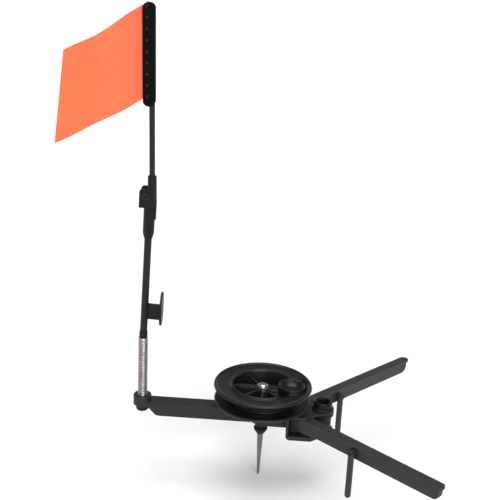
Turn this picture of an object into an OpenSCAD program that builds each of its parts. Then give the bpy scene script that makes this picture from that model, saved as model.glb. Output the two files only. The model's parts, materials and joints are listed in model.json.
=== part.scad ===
// Ice fishing tip up: a spool on a three-arm stand that lies across a hole in the ice, with a
// spring-mounted folding flag post. Millimetres, Z up. The spool turns about the Z axis and
// Z = 0 is the ice the arms lie on. The flag post stands at -X, the two legs spread towards +X.

/* [Overall] */
// height of the arm and leg tops above the ice
deck_h = 14.5; // [12:0.1:20]
// distance from the spool axis to the flag post
arm_reach = 117; // [95:1:160]
// length of each leg from its pivot to its tip
leg_len = 173; // [140:1:230]
// angle of the front leg from the +X direction
front_leg_angle = 41.5; // [36:0.5:55]
// angle of the rear leg from the +X direction
rear_leg_angle = 46.5; // [36:0.5:55]
// total height of the flag post above the ice
post_top = 395; // [320:1:480]

/* [Spool] */
// outside diameter of the spool
spool_d = 95; // [80:1:110]
// height of the spool's upper rim above the ice
rim_z = 39.9; // [37:0.1:46]
// height of the underside of the lower flange above the ice
low_flange_z = 21.8; // [20:0.1:23]
// diameter of the drum the line is wound on
drum_d = 66; // [56:1:70]
// distance from the spool axis to the middle of the finger cup
cup_at = 28; // [26:0.5:30]
// outside diameter of the finger cup
cup_d = 27; // [20:0.5:28]

/* [Arm and legs] */
// width of the arm's flange
arm_w = 15; // [13:0.5:20]
// width of each leg's flange
leg_w = 10; // [9:0.5:12]
// thickness of the flanges
flange_t = 2.2; // [1.8:0.1:3]
// distance from the front leg's pivot to its stake
front_stake_at = 75.5; // [55:0.5:110]
// distance from the rear leg's pivot to its stake
rear_stake_at = 60; // [55:0.5:110]
// length of each stake below its pivot
stake_len = 47.3; // [35:0.1:58]
// diameter of each stake
stake_d = 5.9; // [4.5:0.1:6.5]

/* [Flag post] */
// outside diameter of the coil spring
spring_d = 9.3; // [8.4:0.1:10]
// diameter of the spring wire
wire_d = 1.6; // [1.4:0.1:1.8]
// height of the top of the spring above the ice
spring_top = 80.6; // [60:0.5:95]
// height of the middle of the trigger above the ice
trigger_z = 108; // [106:0.5:140]
// height of the folding hinge's pivot above the ice
hinge_z = 222.7; // [190:0.1:250]
// diameter of the lower rod
low_rod_d = 6.9; // [5.5:0.1:7.2]
// diameter of the upper rod
up_rod_d = 5.2; // [4:0.1:5.4]
// height of the flag clamp
clamp_h = 90; // [75:1:110]

/* [Hidden] */
$fn = 64;

// fits and shared gaps
play = 0.06;
gap = 0.3;
bite = 0.02;

// arm, hub and clevis
post_x = -arm_reach;
web_top = deck_h - flange_t;
arm_web = 12;
leg_web = 5;
toe_r = 7;
hub_r = 11;
hub_low = 0.4;
seam_x = post_x + 18;
tenon_w = 3;
tenon_len = 9;
plate_bot = deck_h + gap;
plate_top = plate_bot + flange_t;
plate_hw = 22;
clevis_x = 24.6;
wall_t = 2.4;
foot_top = -3.7;
foot_t = 4.3;
foot_bot = foot_top - foot_t;
tongue_t = 4;
tongue_hw = 5;
bend_r = 4;
screw_x = 18;
screw_in = 9;
neck_low_r = 5;
bolt_r = 2.8;
pivot_x = 33;
pivot_y = 8;
root_r = pivot_x - clevis_x - wall_t - gap;
leg_pin_r = 2;
tube_x = spool_d / 2 + 11.7;
tube_r = 9;
tube_bore = 6;
tube_top = deck_h + 11;
ring_r = 11;
ring_drop = 5;
nut_h = 2.6;
plate_end = tube_x - 7;

// stakes
web_end = leg_len - 2.5;
stake_r = stake_d / 2;
stake_pin_r = 1.2;
eye_r = 3.2;
stake_z = 7.2;
eye_hw = stake_r + 0.15;
stake_y = -leg_web / 2 - eye_hw - gap;
head_in = 1.6;

// spool
spool_r = spool_d / 2;
drum_r = drum_d / 2;
flange_up_t = 5.5;
low_r = spool_r - 0.8;
low_flange_t = 3;
ridge_r = 30.6;
ridge_w = 2.6;
pan_z = rim_z - 7.5;
pan_t = 2;
boss_r = 8.6;
boss_top = rim_z - 3.4;
spool_foot = 18.6;
cup_r = cup_d / 2;
cup_wall = 1.6;
cup_floor = rim_z - 5;
cup_base = cup_floor - 1.5;
bay_r = 42.5;
bay_z = rim_z - 3.6;
bay_mid = -18;
bay_half = 44;
dish = 1.3;
spokes = [121, 228, 270, 310];
spoke_w = 3.2;
paddle_w = 9;
// each window's middle angle and half its spread
windows = [[78, 32], [150, 19], [204, 14], [249, 13], [290, 12]];
window_in = 11;
window_out = 27.6;
screw_at = 20;
screw_r = 1.3;
drum_wall = 2.4;
split_z = pan_z - pan_t;
spindle_r = 3;
screw_angles = [121, 228, 310];
sleeve_r = 5;
washer_t = 0.8;
head_z = boss_top + gap;

// collar and pin below the hub
collar_top = -7.4;
collar_r = 6.7;
pin_top = -14.1;
pin_tip = -60.7;
pin_r = 3;
tip_r = 1.1;

// flag post
cup_low = 9;
cup_top = deck_h + 5.5;
socket_r = 8.8;
well_r = spring_d / 2 + 0.4;
floor_t = 4.5;
spring_foot = cup_low + floor_t;
spring_r = spring_d / 2;
core_r = spring_r - wire_d - 0.1;
coil_n = round((spring_top - spring_foot - wire_d) / (wire_d * 1.05));
coil_pitch = (spring_top - spring_foot - wire_d) / coil_n;
post_lean = 1.8;
low_rod_r = low_rod_d / 2;
ferrule_h = 7;
ferrule_r = low_rod_r + 0.5;
stem_len = 14.8;
stem_h = 15;
head_h = 34;
head_w = 17;
head_t = 2.2;
head_up = 3.7;

// folding hinge
hinge_off = 3.1;
ear_r = 6.2;
ear_up = 7.2;
ear_out = 7.6;
ear_low = 10.8;
ear_in = 4.5;
ear_t = 1.8;
part_z = hinge_z - 8;
sock_r = 5.3;
hinge_pin_r = 2;
up_sock_r = 4.1;
up_sock_top = hinge_z + 19;
flag_lean = -1;
up_shift = 1.9;
up_rod_r = up_rod_d / 2;
latch_t = 1.35;
latch_x = 4.9;
latch_len = 14.5;
groove_x = 4.6;

// flag clamp and flag
clamp_w = 11;
clamp_x = -2.4;
shell_t = 3.3;
flag_t = 0.4;
rivet_n = 9;
rivet_r = 0.8;
rivet_pitch = (clamp_h - 11.6) / (rivet_n - 1);
clamp_bot = post_top - clamp_h;
rod_in = 26;
flag_long = 85.5;
flag_short = 75.3;
flag_drop = 46;
flag_up = 82;
flag_in = -2.75;
flag_over = 1.5;
flag_wave = 7;
flag_hold = 0.09;
rivet_x = -4;
flag_cols = 18;
flag_rows = 10;

// ---- placing helpers -------------------------------------------------------------------

// frame of the post above the spring, leaning slightly to +X
module on_post() {
    translate([post_x, 0, spring_top]) rotate([0, post_lean, 0]) translate([0, 0, -spring_top])
        children();
}

// frame of the folding part above the hinge, origin on the hinge pivot
module on_hinge() {
    on_post() translate([-hinge_off, 0, hinge_z]) children();
}

// frame of the flag arm: x = 0 on the upper rod, heights measured from the ice
module on_flag_arm() {
    on_hinge() rotate([0, flag_lean - post_lean, 0])
        translate([hinge_off + up_shift, 0, -hinge_z]) children();
}

// frame of a leg: x = 0 on its pivot and x growing to its tip
module on_front_leg() {
    translate([pivot_x, -pivot_y, 0]) rotate([0, 0, -front_leg_angle]) children();
}

module on_rear_leg() {
    translate([pivot_x, pivot_y, 0]) rotate([0, 0, rear_leg_angle]) children();
}

// a cylinder lying along Y, centred on y
module ycyl(r, y0, y1) {
    translate([0, y0, 0]) rotate([-90, 0, 0]) cylinder(r = r, h = y1 - y0);
}

// a bar with a round far end, seen from above
module round_bar(len, half_w, z0, z1) {
    translate([0, -half_w, z0]) cube([len - half_w, 2 * half_w, z1 - z0]);
    translate([len - half_w, 0, z0]) cylinder(r = half_w, h = z1 - z0);
}

// ---- stand -----------------------------------------------------------------------------

// a wedge from the axis, half degrees to each side of +X
module wedge(r, half, h) {
    linear_extrude(height = h)
        polygon([[0, 0], [r, -r * tan(half)], [r, r * tan(half)]]);
}

// the arm's T-shaped bar, the hub and the web that joins the hub to the clevis
module beam_solids() {
    translate([seam_x, -arm_w / 2, web_top]) cube([-seam_x, arm_w, flange_t]);
    translate([seam_x, -arm_web / 2, 0]) cube([-seam_x - hub_r, arm_web, deck_h]);
    translate([-hub_r - 1, -arm_web / 2, hub_low]) cube([hub_r, arm_web, deck_h - hub_low]);
    translate([0, 0, hub_low]) cylinder(r = hub_r, h = plate_top - hub_low);
    translate([0, -hub_r * 0.8, web_top]) cube([clevis_x, hub_r * 1.6, plate_top - web_top]);
    translate([0, -arm_web / 2, hub_low]) cube([clevis_x, arm_web, deck_h - hub_low]);
    translate([0, 0, plate_bot]) linear_extrude(height = flange_t)
        polygon([[8, -hub_r * 0.8], [clevis_x, 4 - plate_hw], [clevis_x + 4, -plate_hw],
            [44, -plate_hw], [plate_end, -ring_r - 3], [tube_x, -ring_r], [tube_x, ring_r],
            [plate_end, ring_r + 3], [44, plate_hw], [clevis_x + 4, plate_hw],
            [clevis_x, plate_hw - 4], [8, hub_r * 0.8]]);
    translate([tube_x, 0, plate_bot]) cylinder(r = ring_r, h = flange_t);
}

module main_beam() {
    color([0.13, 0.13, 0.14]) difference() {
        beam_solids();
        translate([0, 0, -1]) cylinder(r = spindle_r, h = plate_top + 2);
        translate([seam_x - 1, -tenon_w / 2, 3]) cube([tenon_len + 1, tenon_w, 7]);
        translate([tube_x, 0, 0]) cylinder(r = tube_r, h = plate_top + 2);
        translate([screw_x, 0, -1]) cylinder(r = screw_r, h = screw_in + 1);
        for (s = [-1, 1])
            translate([pivot_x, s * pivot_y, 0]) cylinder(r = leg_pin_r, h = plate_top + 2);
    }
}

// cup for the spring on the end of the arm, with a tenon that plugs into the arm
module post_socket() {
    color([0.12, 0.12, 0.13]) difference() {
        union() {
            translate([post_x, 0, cup_low]) {
                cylinder(r1 = socket_r - 1, r2 = socket_r, h = 1);
                translate([0, 0, 1]) cylinder(r = socket_r, h = cup_top - cup_low - 2);
                translate([0, 0, cup_top - cup_low - 1])
                    cylinder(r1 = socket_r, r2 = socket_r - 0.7, h = 1);
            }
            translate([post_x, -arm_w / 2, web_top])
                cube([seam_x - post_x, arm_w, flange_t]);
            rotate([90, 0, 0]) linear_extrude(height = arm_web, center = true)
                polygon([[post_x + 5.8, cup_low], [seam_x - 4, 0.6], [seam_x, 0],
                    [seam_x, web_top + 1], [post_x + 5.8, web_top + 1]]);
            translate([seam_x - 2, -tenon_w / 2, 3]) cube([tenon_len + 1.7, tenon_w, 7]);
        }
        translate([post_x, 0, spring_foot]) cylinder(r = well_r, h = cup_top);
        translate([post_x, 0, 0]) cylinder(r = bolt_r, h = cup_top);
    }
}

// bolt from below whose shank centres the spring
module socket_bolt() {
    color([0.15, 0.15, 0.16]) translate([post_x, 0, 0]) {
        translate([0, 0, 3]) cylinder(r1 = 4.6, r2 = 6.2, h = 1.8);
        translate([0, 0, 4.8]) cylinder(r = 6.2, h = cup_low - 4.8);
        translate([0, 0, cup_low - 1]) cylinder(r = bolt_r, h = spring_foot + 8.5 - cup_low);
        translate([0, 0, spring_foot + 7.5]) cylinder(r1 = bolt_r, r2 = bolt_r - 0.8, h = 1);
    }
}

// lower plate, back wall and under-hub tongue of the clevis
module clevis_bracket() {
    color([0.12, 0.12, 0.13]) difference() {
        union() {
            translate([clevis_x, 1 - plate_hw, foot_bot])
                cube([wall_t, 2 * plate_hw - 2, plate_bot - foot_bot]);
            translate([0, 0, foot_bot]) linear_extrude(height = foot_t)
                polygon([[clevis_x, 1 - plate_hw], [clevis_x + 1, -plate_hw],
                    [plate_end - 3, -plate_hw], [plate_end, -plate_hw + 3],
                    [tube_x + 2, -ring_r], [tube_x + 2, ring_r], [plate_end, plate_hw - 3],
                    [plate_end - 3, plate_hw], [clevis_x + 1, plate_hw],
                    [clevis_x, plate_hw - 1]]);
            translate([tube_x, 0, foot_bot]) cylinder(r = ring_r, h = foot_t);
            translate([0, -tongue_hw, -tongue_t])
                cube([clevis_x + 1, 2 * tongue_hw, tongue_t + hub_low]);
            translate([0, 0, -tongue_t]) cylinder(r = tongue_hw, h = tongue_t + hub_low);
        }
        translate([0, 0, -tongue_t - 1]) cylinder(r = spindle_r, h = tongue_t + 2);
        translate([screw_x, 0, -tongue_t - 1]) cylinder(r = screw_r, h = tongue_t + 2);
        translate([clevis_x - 1, -arm_web / 2, hub_low]) cube([1, arm_web, plate_bot]);
        translate([tube_x, 0, foot_bot - 1]) cylinder(r = tube_r, h = foot_t + 2);
        for (s = [-1, 1])
            translate([pivot_x, s * pivot_y, foot_bot - 1])
                cylinder(r = leg_pin_r, h = foot_t + 2);
        translate([clevis_x, 0, foot_bot]) difference() {
            translate([-1, -plate_hw - 1, -1]) cube([bend_r + 1, 2 * plate_hw + 2, bend_r + 1]);
            translate([bend_r, 0, bend_r]) ycyl(bend_r, -plate_hw - 2, plate_hw + 2);
        }
    }
}

module bracket_screw() {
    color([0.6, 0.6, 0.62]) translate([screw_x, 0, -tongue_t]) {
        translate([0, 0, -1.4]) cylinder(r1 = 1.6, r2 = 2.4, h = 1.4);
        translate([0, 0, -0.1]) cylinder(r = screw_r, h = tongue_t + screw_in - 0.4);
    }
}

// upright tube between the two plates, open right through
module line_tube() {
    color([0.12, 0.12, 0.13]) translate([tube_x, 0, 0]) difference() {
        union() {
            translate([0, 0, foot_bot - 1.2]) cylinder(r = tube_r, h = tube_top - foot_bot + 0.4);
            translate([0, 0, tube_top - 0.8]) cylinder(r1 = tube_r, r2 = tube_r - 0.8, h = 0.8);
            translate([0, 0, plate_bot - ring_drop]) cylinder(r1 = tube_r, r2 = ring_r, h = 1.6);
            translate([0, 0, plate_bot - ring_drop + 1.6])
                cylinder(r = ring_r, h = ring_drop - 1.6);
        }
        translate([0, 0, foot_bot - 2]) cylinder(r = tube_bore, h = tube_top - foot_bot + 4);
        translate([0, 0, tube_top - 1]) cylinder(r1 = tube_bore, r2 = tube_bore + 1.05, h = 1.05);
    }
}

module tube_nut() {
    color([0.13, 0.13, 0.14]) translate([tube_x, 0, plate_top]) difference() {
        union() {
            cylinder(r = ring_r - 0.4, h = nut_h - 1);
            translate([0, 0, nut_h - 1]) cylinder(r1 = ring_r - 0.4, r2 = ring_r - 1.6, h = 1);
        }
        translate([0, 0, -1]) cylinder(r = tube_r, h = nut_h + 2);
    }
}

// thrust ring the spool rests on
module hub_bush() {
    color([0.75, 0.75, 0.72]) translate([0, 0, plate_top]) difference() {
        cylinder(r = 6.5, h = spool_foot - gap - plate_top);
        translate([0, 0, -1]) cylinder(r = spindle_r, h = 5);
    }
}

// fixed shaft with a domed head on top, the spool turns on it
module spindle() {
    color([0.8, 0.8, 0.82]) {
        translate([0, 0, collar_top - 2]) cylinder(r = spindle_r, h = head_z - collar_top + 3);
        translate([0, 0, head_z + washer_t]) cylinder(r = 4.4, h = 0.9);
        translate([0, 0, head_z + washer_t + 0.9]) cylinder(r1 = 4.4, r2 = 3, h = 1);
    }
}

module spindle_washer() {
    color([0.7, 0.7, 0.72]) translate([0, 0, head_z]) difference() {
        cylinder(r = 5.4, h = washer_t);
        translate([0, 0, -1]) cylinder(r = spindle_r, h = 3);
    }
}

// tapered nut under the hub
module collar() {
    color([0.13, 0.13, 0.14]) difference() {
        union() {
            translate([0, 0, collar_top]) cylinder(r = neck_low_r, h = -tongue_t - collar_top);
            translate([0, 0, collar_top - 2]) cylinder(r = collar_r, h = 2);
            translate([0, 0, collar_top - 2]) mirror([0, 0, 1])
                cylinder(r1 = collar_r, r2 = pin_r + 0.6, h = collar_top - 2 - pin_top);
        }
        translate([0, 0, collar_top - 2]) cylinder(r = spindle_r, h = 20);
        translate([0, 0, pin_top - 1]) cylinder(r = pin_r - 0.6, h = 4);
    }
}

// tapered pin that hangs down the hole under the hub
module center_pin() {
    color([0.62, 0.62, 0.6]) {
        translate([0, 0, pin_top - 0.1]) cylinder(r = pin_r - 0.6, h = 3);
        translate([0, 0, pin_tip + tip_r]) cylinder(r1 = tip_r, r2 = pin_r, h = pin_top - pin_tip - tip_r);
        translate([0, 0, pin_tip + tip_r]) sphere(r = tip_r);
    }
}

// rivet a leg turns on, headed above and below the clevis
module leg_pin(y) {
    translate([pivot_x, y, 0]) {
        translate([0, 0, foot_bot - 1]) cylinder(r = leg_pin_r, h = plate_top - foot_bot + 2);
        translate([0, 0, foot_bot - 1.2]) cylinder(r1 = 2.8, r2 = 3.6, h = 1.2);
        translate([0, 0, plate_top]) cylinder(r1 = 3.6, r2 = 2.4, h = 1.1);
    }
}

module front_leg_pin() {
    color([0.3, 0.3, 0.31]) leg_pin(-pivot_y);
}

module rear_leg_pin() {
    color([0.3, 0.3, 0.31]) leg_pin(pivot_y);
}

// close-coiled spring, one ring of wire for each turn
module coil_spring() {
    color([0.82, 0.82, 0.84]) translate([post_x, 0, spring_foot]) rotate_extrude() {
        for (i = [0:coil_n])
            translate([spring_r - wire_d / 2, wire_d / 2 + i * coil_pitch])
                circle(r = wire_d / 2, $fn = 24);
        translate([spring_r - wire_d * 0.75, wire_d / 2])
            square([wire_d / 2, spring_top - spring_foot - wire_d]);
    }
}

// ---- spool -----------------------------------------------------------------------------

// flange with a round lip, ridge and pan, turned in one profile
module top_profile() {
    ridge_out = ridge_r + ridge_w / 2;
    ridge_in = ridge_r - ridge_w / 2;
    rotate_extrude() polygon([[boss_r - 1, split_z], [drum_r, split_z],
        [drum_r, rim_z - flange_up_t], [spool_r - 4, rim_z - flange_up_t],
        [spool_r, rim_z - 2.2], [spool_r, rim_z - 1.4], [spool_r - 0.5, rim_z - 0.5],
        [spool_r - 1.4, rim_z], [spool_r - 2.2, rim_z], [spool_r - 3.4, rim_z - dish],
        [ridge_out + 0.8, rim_z - dish], [ridge_out, rim_z - 0.6], [ridge_r + 0.6, rim_z + 0.3],
        [ridge_r - 0.6, rim_z + 0.3], [ridge_in, rim_z - 0.6], [ridge_in - 1.2, pan_z],
        [boss_r - 1, pan_z]]);
}

// a window through the pan of the spool, between two spokes
module window(half) {
    intersection() {
        difference() {
            cylinder(r = window_out, h = pan_t + 2);
            translate([0, 0, -1]) cylinder(r = window_in, h = pan_t + 4);
        }
        wedge(60, half, pan_t + 2);
    }
}

// spokes, paddle, boss and finger cup inside the ridge
module top_inside() {
    for (a = spokes)
        rotate([0, 0, a]) translate([boss_r - 2, -spoke_w / 2, split_z])
            cube([ridge_r - boss_r + 2, spoke_w, boss_top - split_z - 0.8]);
    rotate([0, 0, 180]) translate([0, 0, split_z]) linear_extrude(height = boss_top - split_z)
        polygon([[boss_r - 2, -3], [boss_r, -3], [16, -paddle_w / 2], [22, 0.6 - paddle_w / 2],
            [27, -2.4], [ridge_r, -1.6], [ridge_r, 1.6], [27, 2.4], [22, paddle_w / 2 - 0.6],
            [16, paddle_w / 2], [boss_r, 3], [boss_r - 2, 3]]);
    translate([0, 0, split_z]) cylinder(r = boss_r, h = boss_top - split_z);
    translate([cup_at, 0, cup_base]) cylinder(r = cup_r, h = rim_z + 0.4 - cup_base);
    intersection() {
        translate([cup_at, 0, split_z]) cylinder(r = cup_r, h = cup_base - split_z + 1);
        cylinder(r = drum_r, h = rim_z);
    }
}

// upper half of the spool: flange, ridge, windows, spokes and finger cup
module spool_top() {
    color([0.11, 0.11, 0.12]) difference() {
        union() {
            difference() {
                top_profile();
                intersection() {
                    translate([0, 0, bay_z]) cylinder(r = bay_r, h = 12);
                    rotate([0, 0, bay_mid]) wedge(60, bay_half, 80);
                }
                for (w = windows)
                    rotate([0, 0, w[0]]) translate([0, 0, split_z - 1]) window(w[1]);
            }
            top_inside();
        }
        translate([cup_at, 0, cup_floor]) cylinder(r = cup_r - cup_wall, h = 20);
        translate([0, 0, 10]) cylinder(r = sleeve_r, h = 40);
        for (a = screw_angles)
            rotate([0, 0, a]) translate([screw_at, 0, 10]) cylinder(r = screw_r, h = pan_z - 10.6);
    }
}

// lower half of the spool: flange, drum and hub
module spool_base() {
    color([0.1, 0.1, 0.11]) difference() {
        union() {
            translate([0, 0, low_flange_z]) cylinder(r1 = low_r - 1, r2 = low_r, h = 1);
            translate([0, 0, low_flange_z + 1]) cylinder(r = low_r, h = low_flange_t - 2);
            translate([0, 0, low_flange_z + low_flange_t - 1])
                cylinder(r1 = low_r, r2 = low_r - 1, h = 1);
            difference() {
                cylinder(r = drum_r, h = split_z);
                translate([0, 0, -1]) cylinder(r = drum_r + 2, h = low_flange_z + 1.5);
                translate([0, 0, low_flange_z + low_flange_t])
                    cylinder(r = drum_r - drum_wall, h = 30);
            }
            translate([0, 0, spool_foot]) cylinder(r = 8, h = split_z - spool_foot);
            for (a = screw_angles)
                rotate([0, 0, a]) translate([screw_at, 0, low_flange_z])
                    cylinder(r = 3.2, h = split_z - low_flange_z);
        }
        translate([0, 0, 10]) cylinder(r = sleeve_r, h = 40);
        for (a = screw_angles)
            rotate([0, 0, a]) translate([screw_at, 0, low_flange_z]) {
                translate([0, 0, -1]) cylinder(r = screw_r, h = 20);
                translate([0, 0, -1]) cylinder(r = 2.5, h = 2.6);
            }
    }
}

module spool_bearing() {
    color([0.8, 0.8, 0.76]) translate([0, 0, spool_foot]) difference() {
        cylinder(r = sleeve_r, h = boss_top - spool_foot);
        translate([0, 0, -1]) cylinder(r = spindle_r + play, h = 40);
    }
}

// screws that hold the two halves of the spool together
module spool_screws() {
    color([0.6, 0.6, 0.62]) for (a = screw_angles)
        rotate([0, 0, a]) translate([screw_at, 0, low_flange_z]) {
            translate([0, 0, 0.1]) cylinder(r = 2.4, h = 1.5);
            translate([0, 0, 1.5]) cylinder(r = screw_r, h = pan_z - low_flange_z - 2.1);
        }
}

// ---- legs and stakes -------------------------------------------------------------------

module leg_solid() {
    translate([0, 0, foot_top + gap]) cylinder(r = root_r, h = deck_h - foot_top - gap);
    translate([0, 0, web_top]) linear_extrude(height = flange_t)
        polygon([[0, -root_r], [3, -root_r], [10, -leg_w / 2], [10, leg_w / 2], [3, root_r],
            [0, root_r]]);
    translate([9, 0, 0]) round_bar(leg_len - 9, leg_w / 2, web_top, deck_h);
    linear_extrude(height = web_top + bite)
        polygon([[0, -root_r], [3, -root_r], [10, -leg_w / 2], [17, -leg_w / 2],
            [30, -leg_web / 2], [web_end, -leg_web / 2], [web_end, leg_web / 2],
            [30, leg_web / 2], [17, leg_w / 2], [10, leg_w / 2], [3, root_r], [0, root_r]]);
}

module leg(stake_at) {
    color([0.14, 0.14, 0.15]) difference() {
        leg_solid();
        translate([0, 0, foot_top - 1]) cylinder(r = leg_pin_r + play, h = 40);
        translate([stake_at, 0, stake_z]) ycyl(stake_pin_r, -leg_w, leg_w);
        translate([web_end - toe_r, 0, 0]) difference() {
            translate([0, -leg_w, -1]) cube([toe_r + 1, 2 * leg_w, toe_r + 1]);
            translate([0, 0, toe_r]) ycyl(toe_r, -leg_w - 1, leg_w + 1);
        }
    }
}

module front_leg() {
    on_front_leg() leg(front_stake_at);
}

module rear_leg() {
    on_rear_leg() leg(rear_stake_at);
}

// round stake with an eye, hung on the side of a leg
module stake(stake_at) {
    color([0.16, 0.16, 0.17]) translate([stake_at, stake_y, 0]) difference() {
        union() {
            translate([0, 0, stake_z - stake_len + 1.5]) cylinder(r = stake_r, h = stake_len - 1.5);
            translate([0, 0, stake_z - stake_len])
                cylinder(r1 = stake_r - 1, r2 = stake_r, h = 1.5);
            translate([0, 0, stake_z]) ycyl(eye_r, -eye_hw, eye_hw);
        }
        translate([0, 0, stake_z]) ycyl(stake_pin_r + play, -5, 5);
        translate([0, 0, stake_z]) ycyl(2.3, -5, head_in - eye_hw);
    }
}

module front_stake() {
    on_front_leg() stake(front_stake_at);
}

module rear_stake() {
    on_rear_leg() stake(rear_stake_at);
}

// shoulder screw a stake folds on, its head sunk in the eye
module stake_pin(stake_at) {
    color([0.5, 0.5, 0.52]) translate([stake_at, stake_y, stake_z]) {
        ycyl(stake_pin_r, gap - eye_hw, leg_web / 2 - stake_y);
        ycyl(2, gap - eye_hw, head_in - eye_hw - gap);
    }
}

module front_stake_pin() {
    on_front_leg() stake_pin(front_stake_at);
}

module rear_stake_pin() {
    on_rear_leg() stake_pin(rear_stake_at);
}

// ---- flag post -------------------------------------------------------------------------

// plug that joins the lower rod to the top of the spring
module spring_ferrule() {
    color([0.12, 0.12, 0.13]) on_post() difference() {
        union() {
            translate([0, 0, spring_top - 12]) cylinder(r1 = core_r - 1, r2 = core_r - 0.4, h = 2);
            translate([0, 0, spring_top - 10]) cylinder(r = core_r - 0.4, h = 10.5);
            translate([0, 0, spring_top + 0.4]) cylinder(r = ferrule_r, h = ferrule_h - 2);
            translate([0, 0, spring_top + ferrule_h - 1.6])
                cylinder(r1 = ferrule_r, r2 = low_rod_r + 0.3, h = 1.6);
        }
        translate([0, 0, spring_top + 1.6]) cylinder(r = low_rod_r, h = 20);
    }
}

module lower_rod() {
    color([0.2, 0.2, 0.21]) on_post() translate([0, 0, spring_top + 1.6])
        cylinder(r = low_rod_r, h = part_z - 9 - spring_top - 1.6);
}

// T-shaped trigger: a saddle on the rod's inner side, a stem and an upright oval plate
module trigger() {
    color([0.12, 0.12, 0.13]) on_post() translate([0, 0, trigger_z]) difference() {
        union() {
            translate([0, 0, -stem_h / 2]) cylinder(r = low_rod_r + 1, h = stem_h);
            translate([0, -2, -stem_h / 2]) cube([stem_len + 1, 4, stem_h]);
            translate([stem_len, 0, head_up]) rotate([0, 90, 0]) linear_extrude(height = head_t)
                scale([head_h / head_w, 1]) circle(r = head_w / 2);
        }
        translate([0, 0, -stem_h]) cylinder(r = low_rod_r, h = 2 * stem_h);
        translate([0.5 - stem_len, -stem_len, -stem_h]) cube([stem_len, 2 * stem_len, 2 * stem_h]);
    }
}

// one ear of the folding hinge, a plate with round corners from y to y + ear_t
module ear(y) {
    r = 3.4;
    translate([-ear_r + r, y, -ear_low]) cube([ear_out + ear_r - 2 * r, ear_t, ear_up + ear_low]);
    translate([-ear_r, y, -ear_low]) cube([ear_out + ear_r, ear_t, ear_up + ear_low - r]);
    for (x = [r - ear_r, ear_out - r])
        translate([x, 0, ear_up - r]) ycyl(r, y, y + ear_t);
}

// lower half of the folding hinge: socket on the rod, a bridge and two ears
module hinge_lower() {
    color([0.12, 0.12, 0.13]) on_post() difference() {
        union() {
            translate([0, 0, part_z - 33]) cylinder(r1 = low_rod_r + 0.5, r2 = sock_r, h = 5);
            translate([0, 0, part_z - 28]) cylinder(r = sock_r, h = 28);
            translate([-hinge_off, 0, hinge_z]) {
                translate([-ear_r, -ear_in - ear_t, -ear_low])
                    cube([ear_out + ear_r, 2 * (ear_in + ear_t), part_z - hinge_z + ear_low]);
                ear(-ear_in - ear_t);
                ear(ear_in);
            }
        }
        translate([0, 0, part_z - 40]) cylinder(r = low_rod_r, h = 31);
        translate([-hinge_off, 0, hinge_z]) ycyl(hinge_pin_r, -10, 10);
        translate([groove_x, -2.3, part_z - latch_len - 0.8]) cube([5, 4.6, latch_len + 2]);
    }
}

// hollow rivet the flag arm folds on
module hinge_screw() {
    color([0.3, 0.3, 0.31]) on_hinge() difference() {
        union() {
            ycyl(hinge_pin_r, -ear_in - ear_t - 0.5, ear_in + ear_t + 0.5);
            ycyl(3.6, -ear_in - ear_t - 1.1, -ear_in - ear_t);
            ycyl(3.6, ear_in + ear_t, ear_in + ear_t + 1.1);
        }
        ycyl(1.1, -12, 12);
    }
}

// upper half of the folding hinge: knuckle, socket for the flag rod and snap tongue
module hinge_upper() {
    color([0.13, 0.13, 0.14]) difference() {
        union() {
            on_hinge() {
                ycyl(5.6, gap - ear_in, ear_in - gap);
                translate([0, gap - ear_in, -4]) cube([6, 2 * (ear_in - gap), 8]);
                translate([hinge_off + 1, -2, part_z - hinge_z + gap])
                    cube([latch_x + latch_t - 1, 4, 3]);
                translate([hinge_off + latch_x, -2, part_z - hinge_z - latch_len])
                    cube([latch_t, 4, latch_len + 2]);
            }
            on_flag_arm() {
                translate([0, 0, part_z + gap])
                    cylinder(r = up_sock_r, h = up_sock_top - part_z - gap - 1.5);
                translate([0, 0, up_sock_top - 1.5])
                    cylinder(r1 = up_sock_r, r2 = up_rod_r + 0.4, h = 1.5);
            }
        }
        on_hinge() ycyl(hinge_pin_r + play, -10, 10);
        on_flag_arm() translate([0, 0, part_z + 10]) cylinder(r = up_rod_r, h = 60);
    }
}

module upper_rod() {
    color([0.2, 0.2, 0.21]) on_flag_arm() translate([0, 0, part_z + 10])
        cylinder(r = up_rod_r, h = clamp_bot + rod_in - part_z - 10);
}

// ---- flag clamp and flag ---------------------------------------------------------------

// one strip of the clamp with round corners, from y0 to y1
module strip(y0, y1) {
    x0 = clamp_x - clamp_w / 2;
    x1 = clamp_x + clamp_w / 2;
    r = 5;
    translate([x0 + r, y0, clamp_bot]) cube([clamp_w - 2 * r, y1 - y0, clamp_h]);
    translate([x0, y0, clamp_bot + r]) cube([clamp_w, y1 - y0, clamp_h - 2 * r]);
    for (x = [x0 + r, x1 - r])
        for (z = [clamp_bot + r, post_top - r])
            translate([x, 0, z]) ycyl(r, y0, y1);
}

module rivets(r, y0, y1) {
    for (i = [0:rivet_n - 1])
        translate([rivet_x, 0, clamp_bot + 9 + i * rivet_pitch]) ycyl(r, y0, y1);
}

// one shell of the clamp, side -1 is in front
module shell(side) {
    y0 = side < 0 ? -shell_t : flag_t / 2;
    y1 = side < 0 ? -flag_t / 2 : shell_t;
    difference() {
        strip(y0, y1);
        translate([0, 0, clamp_bot - 1]) cylinder(r = up_rod_r, h = rod_in + 1);
        rivets(rivet_r, -6, 6);
    }
}

module clamp_front() {
    color([0.12, 0.12, 0.13]) on_flag_arm() shell(-1);
}

module clamp_back() {
    color([0.12, 0.12, 0.13]) on_flag_arm() shell(1);
}

// nine rivets through both shells and the flag
module clamp_rivets() {
    color([0.35, 0.35, 0.36]) on_flag_arm() {
        rivets(rivet_r, -shell_t - 0.3, shell_t + 0.3);
        rivets(1.3, -shell_t - 0.5, -shell_t);
        rivets(1.3, shell_t, shell_t + 0.5);
    }
}

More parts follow.
